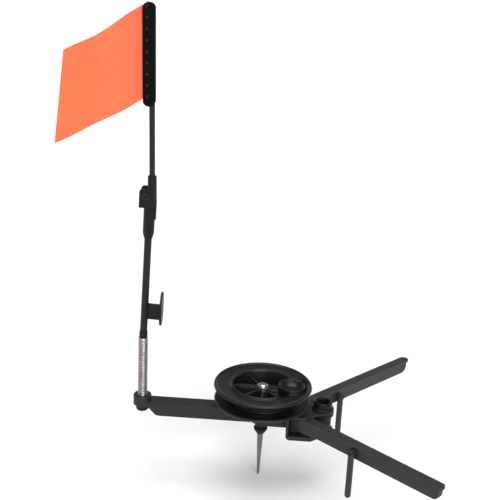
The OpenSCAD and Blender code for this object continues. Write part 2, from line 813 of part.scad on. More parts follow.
// the flag's surface: s runs from the clamp to the free edge, t from the bottom to the top
function flag_x(s, t) = flag_in - s * (flag_long + (flag_short - flag_long) * t);
function flag_y(s) = s < flag_hold ? 0
    : -flag_wave * pow(sin(180 * (s - flag_hold) / (1 - flag_hold)), 2);
function flag_z(s, t) = post_top + flag_over - flag_up * (1 - t) - flag_drop * s * (1.14 - 0.14 * s);
function flag_point(i, j, side) = let (s = i / flag_cols, t = j / flag_rows)
    [flag_x(s, t), flag_y(s) + side * flag_t / 2, flag_z(s, t)];
function flag_at(i, j, side) = side * (flag_cols + 1) * (flag_rows + 1)
    + i * (flag_rows + 1) + j;

module flag() {
    points = [for (side = [-1, 1], i = [0:flag_cols], j = [0:flag_rows])
        flag_point(i, j, side)];
    front = [for (i = [0:flag_cols - 1], j = [0:flag_rows - 1])
        [flag_at(i, j, 0), flag_at(i, j + 1, 0), flag_at(i + 1, j + 1, 0), flag_at(i + 1, j, 0)]];
    back = [for (i = [0:flag_cols - 1], j = [0:flag_rows - 1])
        [flag_at(i, j, 1), flag_at(i + 1, j, 1), flag_at(i + 1, j + 1, 1), flag_at(i, j + 1, 1)]];
    low = [for (i = [0:flag_cols - 1])
        [flag_at(i, 0, 0), flag_at(i + 1, 0, 0), flag_at(i + 1, 0, 1), flag_at(i, 0, 1)]];
    high = [for (i = [0:flag_cols - 1])
        [flag_at(i, flag_rows, 1), flag_at(i + 1, flag_rows, 1), flag_at(i + 1, flag_rows, 0),
            flag_at(i, flag_rows, 0)]];
    inner = [for (j = [0:flag_rows - 1])
        [flag_at(0, j, 0), flag_at(0, j, 1), flag_at(0, j + 1, 1), flag_at(0, j + 1, 0)]];
    outer = [for (j = [0:flag_rows - 1])
        [flag_at(flag_cols, j, 1), flag_at(flag_cols, j, 0), flag_at(flag_cols, j + 1, 0),
            flag_at(flag_cols, j + 1, 1)]];
    color([1, 0.42, 0.24]) on_flag_arm() difference() {
        polyhedron(points = points, faces = concat(front, back, low, high, inner, outer));
        rivets(rivet_r, -6, 6);
    }
}

// ---- nodes -----------------------------------------------------------------------------

main_beam();
post_socket();
socket_bolt();
clevis_bracket();
bracket_screw();
line_tube();
tube_nut();
hub_bush();
spindle();
spindle_washer();
collar();
center_pin();
front_leg_pin();
rear_leg_pin();
coil_spring();
spool_top();
spool_base();
spool_bearing();
spool_screws();
front_leg();
rear_leg();
front_stake();
rear_stake();
front_stake_pin();
rear_stake_pin();
spring_ferrule();
lower_rod();
trigger();
hinge_lower();
hinge_screw();
hinge_upper();
upper_rod();
clamp_front();
clamp_back();
clamp_rivets();
flag();
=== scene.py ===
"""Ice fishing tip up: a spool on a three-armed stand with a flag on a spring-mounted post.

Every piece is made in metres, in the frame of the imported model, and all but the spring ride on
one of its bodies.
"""
import json
import math

import bmesh
import bpy
import numpy as np
from bpy.props import FloatProperty, FloatVectorProperty, IntProperty, PointerProperty
from mathutils import Matrix, Vector


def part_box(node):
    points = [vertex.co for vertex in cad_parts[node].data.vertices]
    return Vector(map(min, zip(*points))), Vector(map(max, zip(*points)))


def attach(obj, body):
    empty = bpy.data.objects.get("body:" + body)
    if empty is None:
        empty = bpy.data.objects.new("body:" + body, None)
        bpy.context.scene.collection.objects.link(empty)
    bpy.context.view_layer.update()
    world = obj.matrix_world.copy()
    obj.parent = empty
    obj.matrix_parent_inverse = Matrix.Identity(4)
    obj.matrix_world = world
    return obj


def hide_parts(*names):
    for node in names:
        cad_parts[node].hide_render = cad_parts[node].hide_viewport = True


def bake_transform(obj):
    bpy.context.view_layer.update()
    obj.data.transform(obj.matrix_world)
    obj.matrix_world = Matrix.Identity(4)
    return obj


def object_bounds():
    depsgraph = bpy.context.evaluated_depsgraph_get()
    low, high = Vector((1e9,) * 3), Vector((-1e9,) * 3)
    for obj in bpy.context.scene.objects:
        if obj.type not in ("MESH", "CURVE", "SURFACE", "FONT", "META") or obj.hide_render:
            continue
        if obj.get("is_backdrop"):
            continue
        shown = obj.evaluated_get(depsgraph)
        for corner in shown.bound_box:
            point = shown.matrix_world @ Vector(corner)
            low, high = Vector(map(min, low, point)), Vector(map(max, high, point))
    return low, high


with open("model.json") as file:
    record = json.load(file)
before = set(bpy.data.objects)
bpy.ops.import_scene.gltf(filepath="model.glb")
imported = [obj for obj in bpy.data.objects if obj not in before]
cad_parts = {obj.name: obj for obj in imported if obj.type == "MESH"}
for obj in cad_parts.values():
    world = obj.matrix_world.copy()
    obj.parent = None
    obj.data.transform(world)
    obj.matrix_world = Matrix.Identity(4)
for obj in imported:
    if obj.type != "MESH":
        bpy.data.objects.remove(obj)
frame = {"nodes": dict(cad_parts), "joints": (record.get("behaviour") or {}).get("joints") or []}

bl_info = {
    "name": "Ice fishing tip up",
    "version": (1, 0, 0),
    "blender": (4, 5, 0),
    "location": "View3D > Sidebar > Tip up",
    "description": "Builds a spool tip up with its flag, spring and stand from their sizes",
    "category": "Add Mesh",
}

MM = 0.001
NODES = frame["nodes"]
JOINTS = {joint["name"]: joint for joint in frame["joints"]}
SPRING_LOW, SPRING_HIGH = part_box("coil_spring")
POST_X = (SPRING_LOW.x + SPRING_HIGH.x) / 2
HINGE = Vector(JOINTS["flag_fold"]["pos_m"])


# ---- sizes and colours a user may change -------------------------------------------------


def linear(code):
    """The linear red, green and blue of an sRGB hex colour."""
    parts = [int(code[i : i + 2], 16) / 255 for i in (1, 3, 5)]
    return [p / 12.92 if p <= 0.04045 else ((p + 0.055) / 1.055) ** 2.4 for p in parts]


def length(name, text, default):
    """A length property in metres whose default is given in millimetres."""
    return FloatProperty(
        name=name,
        description=text,
        default=default * MM,
        min=0.0,
        precision=5,
        subtype="DISTANCE",
        unit="LENGTH",
    )


def turn(name, text, default):
    """An angle property whose default is given in degrees."""
    return FloatProperty(
        name=name,
        description=text,
        default=math.radians(default),
        subtype="ANGLE",
        unit="ROTATION",
    )


def colour(name, text, code):
    """A colour property whose default is an sRGB hex value."""
    return FloatVectorProperty(
        name=name, description=text, default=linear(code), size=3, min=0, max=1, subtype="COLOR"
    )


class TipUpSizes(bpy.types.PropertyGroup):
    """Sizes of the made pieces."""

    edge: length("Moulded edge", "Radius of the rounded edges on moulded parts", 0.45)
    fine_edge: length("Fine edge", "Radius of the edges on small parts", 0.2)
    wire: length("Spring wire", "Diameter of the spring's wire", 1.6)
    turns: IntProperty(name="Spring turns", description="Turns of the coil spring", default=39)
    lean: turn("Post lean", "Lean of the flag post from the upright", 1.8)
    flag_lean: turn("Flag lean", "Lean of the flag arm from the upright", -1.0)
    cloth: length("Cloth", "Thickness of the flag's cloth", 0.4)
    thread: length("Thread spacing", "Spacing of the flag's woven threads", 0.7)
    hem: length("Edge band", "Width of the flag's heat-sealed edge", 1.1)


class TipUpColours(bpy.types.PropertyGroup):
    """Colours of the finishes."""

    beam: colour("Arm", "Moulded nylon of the arm, hub and clevis", "#1d1b1e")
    spool: colour("Spool", "Moulded ABS of the spool", "#121113")
    leg: colour("Legs", "Moulded nylon of the legs and stakes", "#2a2627")
    socket: colour("Fittings", "Moulded nylon of the post's fittings", "#131112")
    clamp: colour("Clamp", "Moulded nylon of the flag clamp", "#060505")
    rod: colour("Rods", "Pultruded fibreglass of the rods", "#121011")
    pin: colour("Pin", "Moulded polypropylene of the hanging pin", "#5d5c5b")
    acetal: colour("Bearings", "Natural acetal of the bearings", "#dcdad2")
    wire: colour("Spring wire", "Drawn spring steel", "#b8b0b0")
    steel: colour("Steel", "Turned steel of the spindle and screws", "#c9c8c8")
    dark_steel: colour("Dark steel", "Blackened steel of the rivets", "#3a3838")
    flag: colour("Flag", "Dyed nylon cloth of the flag", "#f66b43")


class TipUpView(bpy.types.PropertyGroup):
    """Camera and lights."""

    azimuth: turn("Azimuth", "Turn of the camera about the object", 2.11)
    elevation: turn("Elevation", "Height of the camera as an angle", 19.81)
    roll: turn("Roll", "Turn of the picture about its middle", 2.89)
    distance: length("Distance", "Distance of the camera from its target", 970.0)
    target: FloatVectorProperty(
        name="Target",
        description="Point that the camera looks at",
        default=(-0.01913, 0.0, 0.17577),
        subtype="XYZ",
        unit="LENGTH",
    )
    lens: FloatProperty(
        name="Lens", description="Focal length for a 36 mm sensor", default=75.64, unit="CAMERA"
    )
    top_light: FloatProperty(name="Top light", description="Strength from above", default=1.9)
    key_light: FloatProperty(name="Key light", description="Strength from the front", default=3.0)
    fill: FloatProperty(name="Fill", description="Strength of the light all round", default=0.2)


# ---- placing -----------------------------------------------------------------------------


def post_frame(sizes):
    """Frame of the post above the spring, which leans towards +X from the spring's top."""
    top = Matrix.Translation((POST_X, 0, SPRING_HIGH.z))
    return top @ Matrix.Rotation(sizes.lean, 4, "Y") @ Matrix.Translation((0, 0, -SPRING_HIGH.z))


def arm_frame(sizes):
    """Frame of the flag arm: its own axis is the upper rod's, and heights are from the ice."""
    to_hinge = post_frame(sizes).inverted() @ HINGE
    hinge = post_frame(sizes) @ Matrix.Translation(to_hinge)
    back = Matrix.Translation((-to_hinge.x + 1.9 * MM, 0, -to_hinge.z))
    return hinge @ Matrix.Rotation(sizes.flag_lean - sizes.lean, 4, "Y") @ back


def placed(points, matrix):
    """The points moved by a 4x4 matrix, as one array product."""
    m = np.array(matrix)
    return points @ m[:3, :3].T + m[:3, 3]


# ---- surfaces ----------------------------------------------------------------------------


def smooth_step(edge, width, x):
    """0 below the edge and 1 above it, joined by the cubic 3t^2 - 2t^3 over the width."""
    t = np.clip((x - edge) / width + 0.5, 0, 1)
    return t * t * (3 - 2 * t)


def finish_mesh(name, points, quads, uv=None):
    """A mesh whose doubled points are merged and whose faces point outwards."""
    mesh = bpy.data.meshes.new(name)
    mesh.from_pydata(points.reshape(-1, 3), [], quads)
    if uv is not None:
        corner = np.zeros(len(mesh.loops), np.int32)
        mesh.loops.foreach_get("vertex_index", corner)
        layer = mesh.uv_layers.new(name="UVMap")
        layer.data.foreach_set("uv", uv.reshape(-1, 2)[corner].astype(np.float32).ravel())
    work = bmesh.new()
    work.from_mesh(mesh)
    bmesh.ops.remove_doubles(work, verts=work.verts, dist=1e-6)
    bmesh.ops.dissolve_degenerate(work, edges=work.edges, dist=1e-7)
    work.to_mesh(mesh)
    work.free()
    return mesh


def surface(name, points, uv=None):
    """Quads over a grid of points (rows, columns, 3), turned over if the volume it holds is
    negative: a sixth of the sum of p0 . (p1 x p2) over its triangles."""
    rows, columns = points.shape[:2]
    index = np.arange(rows * columns).reshape(rows, columns)
    quads = np.stack([index[:-1, :-1], index[1:, :-1], index[1:, 1:], index[:-1, 1:]], -1)
    quads = quads.reshape(-1, 4)
    flat = points.reshape(-1, 3)
    p = flat[quads] - flat.mean(0)
    volume = np.einsum("ij,ij->i", p[:, 0], np.cross(p[:, 1], p[:, 2])).sum()
    volume += np.einsum("ij,ij->i", p[:, 0], np.cross(p[:, 2], p[:, 3])).sum()
    if volume < 0:
        quads = quads[:, ::-1]
    return finish_mesh(name, points, quads, uv)


def turned(profile, around=96):
    """Points of a profile (radius, height) carried round the Z axis, both in millimetres:
    (r cos a, r sin a, z)."""
    a = np.linspace(0, 2 * np.pi, around + 1)[None, :]
    r, z = (np.asarray(profile)[:, i : i + 1] * MM for i in (0, 1))
    return np.stack([r * np.cos(a), r * np.sin(a), z + 0 * a], -1)


def tube(path, radius, around=12):
    """Points of a round tube along a path, with a closed end at each side.

    Around each path point p with tangent t, the ring is p + radius (n cos a + b sin a), where n
    is the level direction square to t and b = t x n.
    """
    tangent = np.gradient(path, axis=0)
    tangent /= np.linalg.norm(tangent, axis=1, keepdims=True)
    n = np.cross(tangent, [0.0, 0.0, 1.0])
    n /= np.linalg.norm(n, axis=1, keepdims=True)
    b = np.cross(tangent, n)
    a = np.linspace(0, 2 * np.pi, around + 1)[None, :, None]
    ring = path[:, None] + radius * (n[:, None] * np.cos(a) + b[:, None] * np.sin(a))
    first, last = (np.repeat(path[i][None, None], around + 1, 1) for i in (0, -1))
    return np.concatenate([first, ring, last])


# ---- pieces ------------------------------------------------------------------------------


def add_piece(name, mesh, material, body, replaced, sharp=40, weighted=True):
    """Links a finished mesh as a piece that rides on a body and stands for its CAD nodes."""
    mesh.materials.clear()
    mesh.materials.append(material)
    mesh.shade_smooth()
    mesh.set_sharp_from_angle(angle=math.radians(sharp))
    piece = bpy.data.objects.new(name, mesh)
    bpy.context.scene.collection.objects.link(piece)
    if weighted:
        normals = piece.modifiers.new("Flat faces stay flat", "WEIGHTED_NORMAL")
        normals.keep_sharp = True
    if body:
        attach(piece, body)
    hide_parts(*replaced)
    return piece


def moulded(name, node, body, material, edge, sharp=28):
    """A moulded part: the CAD node's triangles merged, its flat faces made whole and its edges
    rounded by a bevel."""
    work = bmesh.new()
    work.from_mesh(NODES[node].data)
    bmesh.ops.remove_doubles(work, verts=work.verts, dist=2e-6)
    flat = math.radians(0.6)
    bmesh.ops.dissolve_limit(work, angle_limit=flat, verts=work.verts, edges=work.edges)
    mesh = bpy.data.meshes.new(name)
    work.to_mesh(mesh)
    work.free()
    piece = add_piece(name, mesh, material, body, [node], sharp=sharp, weighted=False)
    bevel = piece.modifiers.new("Rounded edges", "BEVEL")
    bevel.width = edge
    bevel.segments = 3
    bevel.limit_method = "ANGLE"
    bevel.angle_limit = math.radians(sharp)
    bevel.harden_normals = True
    bevel.use_clamp_overlap = True
    return piece


# ---- finishes ----------------------------------------------------------------------------


def add_node(tree, kind, inputs=None, **settings):
    """One node with its settings, its inputs filled from values or linked from sockets."""
    node = tree.nodes.new(kind)
    for key, value in settings.items():
        setattr(node, key, value)
    for key, value in (inputs or {}).items():
        if isinstance(value, bpy.types.NodeSocket):
            tree.links.new(value, node.inputs[key])
        else:
            node.inputs[key].default_value = value
    return node


def new_finish(name):
    """An empty material with its output, and the object coordinates in metres."""
    material = bpy.data.materials.new(name)
    material.use_nodes = True
    tree = material.node_tree
    tree.nodes.clear()
    shader = add_node(tree, "ShaderNodeBsdfPrincipled")
    add_node(tree, "ShaderNodeOutputMaterial", {"Surface": shader.outputs["BSDF"]})
    where = add_node(tree, "ShaderNodeTexCoord").outputs["Object"]
    return material, tree, shader, where


def noise(tree, where, size, detail=3.0, stretch=(1, 1, 1)):
    """Noise whose grains are one size across, in millimetres, stretched by dividing the axes."""
    scaled = add_node(tree, "ShaderNodeMapping", {"Vector": where, "Scale": stretch})
    return add_node(
        tree,
        "ShaderNodeTexNoise",
        {"Vector": scaled.outputs["Vector"], "Scale": 1 / (size * MM), "Detail": detail},
    ).outputs["Fac"]


def ranged(tree, value, low, high, start=0.3, end=0.7):
    """A value from start to end mapped to low and high."""
    return add_node(
        tree,
        "ShaderNodeMapRange",
        {"Value": value, "From Min": start, "From Max": end, "To Min": low, "To Max": high},
    ).outputs["Result"]


def mixed(tree, factor, a, b):
    """Two colours mixed by a factor."""
    mix = add_node(tree, "ShaderNodeMix", {"Factor": factor}, data_type="RGBA")
    for key, value in (("A", a), ("B", b)):
        socket = next(s for s in mix.inputs if s.name == key and s.type == "RGBA")
        if isinstance(value, bpy.types.NodeSocket):
            tree.links.new(value, socket)
        else:
            socket.default_value = value
    return next(s for s in mix.outputs if s.type == "RGBA")


def shade(rgb, factor):
    """A colour made lighter or darker, with its alpha."""
    return [min(1.0, c * factor) for c in rgb] + [1.0]


def bump(tree, height, depth):
    """A bump as deep as the given millimetres."""
    return add_node(
        tree, "ShaderNodeBump", {"Height": height, "Strength": 1.0, "Distance": depth * MM}
    ).outputs["Normal"]


def moulded_plastic(name, rgb, rough=0.45, grain=0.9, specular=0.42):
    """Injection-moulded nylon or ABS: near black, with the mould's fine spark-eroded grain, a
    slow change in gloss from the melt's flow, and edges painted paler: wear and painted
    highlight.

    The grain is near 0.1 mm in the mould, and is drawn coarser so that it shows.
    """
    material, tree, shader, where = new_finish(name)
    fine = noise(tree, where, grain, 4.0)
    flow = noise(tree, where, 22.0, 2.0)
    body = mixed(tree, ranged(tree, flow, 0, 1), shade(rgb, 0.86), shade(rgb, 1.16))
    rounded_normal = add_node(tree, "ShaderNodeBevel", {"Radius": 0.6 * MM}, samples=4)
    face = add_node(tree, "ShaderNodeNewGeometry").outputs["Normal"]
    bend = add_node(
        tree,
        "ShaderNodeVectorMath",
        {0: rounded_normal.outputs["Normal"], 1: face},
        operation="DOT_PRODUCT",
    ).outputs["Value"]
    # edges painted up to twice as pale: partly rubbed wear, partly a painted highlight
    rubbed_edge_and_highlight = ranged(tree, bend, 0.45, 0.0, 0.86, 0.99)
    tree.links.new(mixed(tree, rubbed_edge_and_highlight, body, shade(rgb, 2.1)), shader.inputs["Base Color"])
    tree.links.new(ranged(tree, flow, rough - 0.06, rough + 0.07), shader.inputs["Roughness"])
    tree.links.new(bump(tree, fine, 0.035), shader.inputs["Normal"])
    shader.inputs["IOR"].default_value = 1.53
    shader.inputs["Specular IOR Level"].default_value = specular
    return material


def fibreglass(name, rgb):
    """Pultruded fibreglass rod: black resin, glossy, with faint paler glass strands lengthways.

    Real strands are about 0.02 mm, and are drawn 0.5 mm wide so that they show.
    """
    material, tree, shader, where = new_finish(name)
    strand = noise(tree, where, 0.5, 2.0, (1, 1, 0.02))
    colours = mixed(tree, ranged(tree, strand, 0, 1, 0.5, 0.75), shade(rgb, 0.9), shade(rgb, 2.6))
    tree.links.new(colours, shader.inputs["Base Color"])
    tree.links.new(ranged(tree, strand, 0.3, 0.42), shader.inputs["Roughness"])
    tree.links.new(bump(tree, strand, 0.02), shader.inputs["Normal"])
    shader.inputs["IOR"].default_value = 1.55
    shader.inputs["Specular IOR Level"].default_value = 0.2
    shader.inputs["Coat Weight"].default_value = 0.06
    shader.inputs["Coat Roughness"].default_value = 0.18
    return material


def natural_acetal(name, rgb):
    """Turned natural acetal: milky white and waxy, with light passing a little way in."""
    material, tree, shader, where = new_finish(name)
    cloud = noise(tree, where, 6.0)
    tree.links.new(
        mixed(tree, cloud, shade(rgb, 0.9), shade(rgb, 1.04)), shader.inputs["Base Color"]
    )
    tree.links.new(ranged(tree, cloud, 0.3, 0.42), shader.inputs["Roughness"])
    shader.inputs["Subsurface Weight"].default_value = 0.15
    shader.inputs["Subsurface Scale"].default_value = 1.0 * MM
    shader.inputs["IOR"].default_value = 1.48
    return material


def drawn_steel(name, rgb, rough):
    """Drawn spring wire: bright steel with long fine draw marks along the wire.

    Draw marks are about 0.05 mm apart, and are drawn 0.25 mm apart so that they show.
    """
    material, tree, shader, where = new_finish(name)
    along = add_node(tree, "ShaderNodeUVMap", uv_map="UVMap").outputs["UV"]
    marks = noise(tree, along, 0.25, 2.0, (0.03, 1, 1))
    patina = noise(tree, where, 7.0, 3.0)
    base = mixed(tree, ranged(tree, patina, 0, 1), shade(rgb, 0.78), shade(rgb, 1.0))
    tree.links.new(base, shader.inputs["Base Color"])
    tree.links.new(ranged(tree, marks, rough - 0.08, rough + 0.1), shader.inputs["Roughness"])
    tree.links.new(bump(tree, marks, 0.012), shader.inputs["Normal"])
    shader.inputs["Metallic"].default_value = 1.0
    return material


def turned_steel(name, rgb, rough, oxide=0.0):
    """Turned or blackened steel: fine lathe marks break up the gloss, and dark oxide lies in
    patches a few millimetres wide."""
    material, tree, shader, where = new_finish(name)
    marks = noise(tree, where, 0.35, 2.0, (1, 1, 6))
    patches = noise(tree, where, 3.0, 4.0)
    base = mixed(tree, ranged(tree, patches, 0, 1), shade(rgb, 0.72 - oxide), shade(rgb, 1.0))
    tree.links.new(base, shader.inputs["Base Color"])
    tree.links.new(ranged(tree, patches, rough + 0.1, rough - 0.04), shader.inputs["Roughness"])
    tree.links.new(bump(tree, marks, 0.008), shader.inputs["Normal"])
    shader.inputs["Metallic"].default_value = 1.0
    return material


def woven_nylon(name, rgb, thread, band, size):
    """Plain-woven dyed nylon: bright orange, a soft sheen, threads crossing over and under, and
    a heat-sealed edge that is darker and stiffer.

    The weave is the product of two sines a thread apart, read from the cloth's own map in metres.
    Threads are about 0.25 mm apart, and are drawn coarser so that they show.
    """
    material, tree, shader, where = new_finish(name)
    uv = add_node(tree, "ShaderNodeUVMap", uv_map="UVMap").outputs["UV"]
    axes = add_node(tree, "ShaderNodeSeparateXYZ", {"Vector": uv})

    def math_node(operation, a, b=0.0):
        return add_node(tree, "ShaderNodeMath", {0: a, 1: b}, operation=operation).outputs[0]

    warp, weft = (
        math_node("SINE", math_node("MULTIPLY", axes.outputs[key], math.pi / thread))
        for key in ("X", "Y")
    )
    weave = math_node("MULTIPLY", warp, weft)
    soft = noise(tree, where, 30.0, 2.0)
    slub = noise(tree, uv, 1.2, 2.0, (0.12, 1, 1))
    cloth = mixed(tree, ranged(tree, soft, 0, 1), shade(rgb, 0.93), shade(rgb, 1.05))
    cloth = mixed(tree, ranged(tree, slub, 0, 0.35), cloth, shade(rgb, 1.12))
    # painted shade: darker and redder near the clamp, where the clamp shades the cloth
    painted_clamp_shade = ranged(tree, axes.outputs["X"], 0.75, 0.0, 0.0, 0.4 * size[0])
    cloth = mixed(tree, painted_clamp_shade, cloth, (rgb[0] * 0.95, rgb[1] * 0.72, rgb[2] * 0.95, 1.0))
    cloth = mixed(tree, ranged(tree, weave, 0, 0.16, -1, 1), cloth, shade(rgb, 0.7))
    from_free = math_node("SUBTRACT", size[0], axes.outputs["X"])
    from_top = math_node("SUBTRACT", size[1], axes.outputs["Y"])
    nearest = math_node("MINIMUM", from_free, math_node("MINIMUM", from_top, axes.outputs["Y"]))
    edge = ranged(tree, nearest, 0.55, 0.0, band * 0.7, band)
    tree.links.new(mixed(tree, edge, cloth, shade(rgb, 0.62)), shader.inputs["Base Color"])
    tree.links.new(ranged(tree, weave, 0.62, 0.78, -1, 1), shader.inputs["Roughness"])
    tree.links.new(bump(tree, weave, 0.05), shader.inputs["Normal"])
    shader.inputs["Specular IOR Level"].default_value = 0.3
    shader.inputs["Sheen Weight"].default_value = 0.25
    shader.inputs["Sheen Roughness"].default_value = 0.5
    shader.inputs["Sheen Tint"].default_value = (1.0, 0.62, 0.42, 1.0)
    return material


def finish_of(scene, key):
    """The named finish, made once."""
    if key in bpy.data.materials:
        return bpy.data.materials[key]
    c = scene.tipup_colours
    makers = {
        "moulded_nylon_arm": lambda: moulded_plastic(key, c.beam, specular=0.28),
        "moulded_abs_spool": lambda: moulded_plastic(key, c.spool, 0.36, 0.8, 0.28),
        "moulded_nylon_leg": lambda: moulded_plastic(key, c.leg, 0.5, specular=0.3),
        "moulded_nylon_fitting": lambda: moulded_plastic(key, c.socket, 0.42, specular=0.16),
        "moulded_nylon_clamp": lambda: moulded_plastic(key, c.clamp, 0.6, 0.7, 0.06),
        "moulded_polypropylene_pin": lambda: moulded_plastic(key, c.pin, 0.5, 0.6),
        "pultruded_fibreglass": lambda: fibreglass(key, c.rod),
        "turned_acetal": lambda: natural_acetal(key, c.acetal),
        "drawn_spring_steel": lambda: drawn_steel(key, c.wire, 0.3),
        "turned_steel": lambda: turned_steel(key, c.steel, 0.24),
        "blackened_steel": lambda: turned_steel(key, c.dark_steel, 0.38, 0.2),
    }
    return makers[key]()


# ---- operators ---------------------------------------------------------------------------


class TIPUP_OT_stand(bpy.types.Operator):
    """Arm with its hub, spring socket, clevis and line tube"""

    bl_idname = "tipup.stand"
    bl_label = "Stand"

    def execute(self, context):
        sizes, scene = context.scene.tipup_sizes, context.scene
        arm = finish_of(scene, "moulded_nylon_arm")
        fitting = finish_of(scene, "moulded_nylon_fitting")
        moulded("arm_and_hub", "main_beam", "stand", arm, sizes.edge)
        moulded("spring_socket", "post_socket", "stand", arm, sizes.edge)
        moulded("clevis", "clevis_bracket", "stand", arm, sizes.edge)
        moulded("tube", "line_tube", "stand", fitting, sizes.edge)
        moulded("tube_ring", "tube_nut", "stand", fitting, sizes.fine_edge)
        moulded("hub_collar", "collar", "stand", fitting, sizes.fine_edge)
        moulded("socket_cap", "socket_bolt", "stand", fitting, sizes.edge)
        pin = finish_of(scene, "moulded_polypropylene_pin")
        moulded("hanging_pin", "center_pin", "stand", pin, sizes.fine_edge)
        return {"FINISHED"}


class TIPUP_OT_legs(bpy.types.Operator):
    """Two swinging legs, each with its folding stake"""

    bl_idname = "tipup.legs"
    bl_label = "Legs and stakes"

    def execute(self, context):
        sizes = context.scene.tipup_sizes
        leg = finish_of(context.scene, "moulded_nylon_leg")
        for side in ("front", "rear"):
            for name, node in (("leg_bar", f"{side}_leg"), ("stake_rod", f"{side}_stake")):
                moulded(f"{side}_{name}", node, node, leg, sizes.edge)
        return {"FINISHED"}


class TIPUP_OT_hardware(bpy.types.Operator):
    """Spindle, washers, rivets, screws and bearings"""

    bl_idname = "tipup.hardware"
    bl_label = "Hardware"

    def execute(self, context):
        sizes, scene = context.scene.tipup_sizes, context.scene
        steel, dark = finish_of(scene, "turned_steel"), finish_of(scene, "blackened_steel")
        acetal = finish_of(scene, "turned_acetal")
        edge = sizes.fine_edge
        moulded("thrust_ring", "hub_bush", "stand", acetal, edge)
        moulded("spool_sleeve", "spool_bearing", "spool", acetal, edge)
        moulded("spindle_shaft", "spindle", "stand", steel, edge)
        moulded("head_washer", "spindle_washer", "stand", steel, edge)
        moulded("tongue_screw", "bracket_screw", "stand", steel, edge)
        moulded("half_screws", "spool_screws", "spool", steel, edge)
        moulded("front_leg_rivet", "front_leg_pin", "stand", dark, edge)
        moulded("rear_leg_rivet", "rear_leg_pin", "stand", dark, edge)
        moulded("front_stake_screw", "front_stake_pin", "front_leg", dark, edge)
        moulded("rear_stake_screw", "rear_stake_pin", "rear_leg", dark, edge)
        return {"FINISHED"}


# the spool's flange, in millimetres and degrees: tops, half widths and reach of its features, its
# turned profile (radius, height), the angles of its spokes, its windows (middle angle, half
# spread) and its paddle (distance out, half width)
SPOKE_TOP, SPOKE_HALF = 35.7, 1.6
PADDLE_TOP = 36.5
WINDOW_FLOOR, WINDOW_IN, WINDOW_OUT = 26.4, 11, 27.6
BAY_TOP, BAY_OUT, BAY_MIDDLE, BAY_HALF = 36.3, 42.5, -18, 44
NECK_TOP, NECK_HALF = 35.8, 5.5
CUP_AT, CUP_FLOOR, CUP_INNER, CUP_OUTER, CUP_RIM = 28, 34.9, 11.9, 13.7, 40.3
WALL = 0.8
BOSS_IN, RIDGE_IN = 7, 29.5
FLANGE = [[5, 36.5], [8.2, 36.5], [8.6, 36.1], [9.0, 32.4], [28.1, 32.4], [29.0, 38.2],
          [29.5, 39.5], [30.2, 40.1], [31.0, 40.1], [31.7, 39.5], [32.7, 38.3], [43.9, 38.9],
          [45.2, 39.8], [46.1, 39.8], [46.9, 39.4], [47.4, 38.5], [47.5, 37.7]]
SPOKES = (121, 228, 270, 310)
WINDOWS = ((78, 32), (150, 19), (204, 14), (249, 13), (290, 12))
PADDLE = [[8.6, 3], [16, 4.5], [22, 3.9], [27, 2.4], [30.6, 1.6]]


def flange_height(r, a):
    """Height of the flange's upper face at radius r and angle a.

    It is the turned profile, cut down or built up inside each feature's outline: the height
    becomes (1 - m) h + m f, where f is the feature's own height and m a smooth step over the
    0.8 mm on each side of the outline. The finger cup is the bowl 34.9 + 5 (c / 11.9)^3.2 with a
    round rim, where c is the distance from the cup's middle.
    """
    x, y = r * np.cos(a), r * np.sin(a)
    h = np.interp(r, *np.array(FLANGE).T)

    def inside(distance):
        return smooth_step(0, WALL, distance)

    def blend(mask, height):
        return h * (1 - mask) + height * mask

    def off(middle):
        return np.abs((np.degrees(a) - middle + 180) % 360 - 180)

    for middle, half in WINDOWS:
        side = np.radians(half - off(middle)) * r
        window = np.minimum(side, np.minimum(r - WINDOW_IN, WINDOW_OUT - r))
        h = blend(inside(window), WINDOW_FLOOR)
    bay = np.minimum(np.radians(BAY_HALF - off(BAY_MIDDLE)) * r, BAY_OUT - r)
    h = blend(inside(bay) * (h > BAY_TOP), BAY_TOP)
    for middle in SPOKES:
        cos, sin = np.cos(np.radians(middle)), np.sin(np.radians(middle))
        out, across = x * cos + y * sin, y * cos - x * sin
        ends = np.minimum(out - BOSS_IN, RIDGE_IN - r)
        mask = inside(np.minimum(SPOKE_HALF - np.abs(across), ends))
        h = np.maximum(h, blend(mask, SPOKE_TOP))
    paddle = np.interp(-x, *np.array(PADDLE).T)
    ends = np.minimum(-x - BOSS_IN, RIDGE_IN - r)
    h = np.maximum(h, blend(inside(np.minimum(paddle - np.abs(y), ends)), PADDLE_TOP))
    neck = inside(np.minimum(NECK_HALF - np.abs(y), np.minimum(x - 6, 22 - x)))
    h = np.maximum(h, blend(neck, NECK_TOP))
    c = np.hypot(x - CUP_AT, y)
    rim = CUP_RIM - 0.9 * np.abs((c - 12.9) / 0.9) ** 2
    bowl = CUP_FLOOR + 5 * np.minimum(c / CUP_INNER, 1) ** 3.2
    return blend(inside(CUP_OUTER - c), np.where(c < CUP_INNER, bowl, rim))


def flange_points(columns=448):
    """Closed surface of the flange: out over the upper face, round the lip and back below.

    The underside is 1.2 mm below the upper face or at 30.4, whichever is lower, inside the drum's
    wall, and a plain turned profile outside it.
    """
    a = np.linspace(0, 2 * np.pi, columns + 1)[None, :]
    out = np.concatenate([np.arange(5, 44, 0.32), np.arange(44, 47.5, 0.22), [47.5]])[:, None]
    upper = flange_height(out, a)
    back = np.array([[47.5, 37.7], [43.5, 34.4], [33, 34.4], [33, 30.4]])
    inner = np.concatenate([[30.6], np.arange(30.4, 5, -0.64), [5]])[:, None]
    under = np.minimum(30.4, flange_height(inner, a) - 1.2)
    radii = np.concatenate([out, back[:, :1], inner, out[:1]]) + 0 * a
    heights = np.concatenate([upper, back[:, 1:] + 0 * a, under, upper[:1]])
    return np.stack([radii * np.cos(a), radii * np.sin(a), heights], -1) * MM


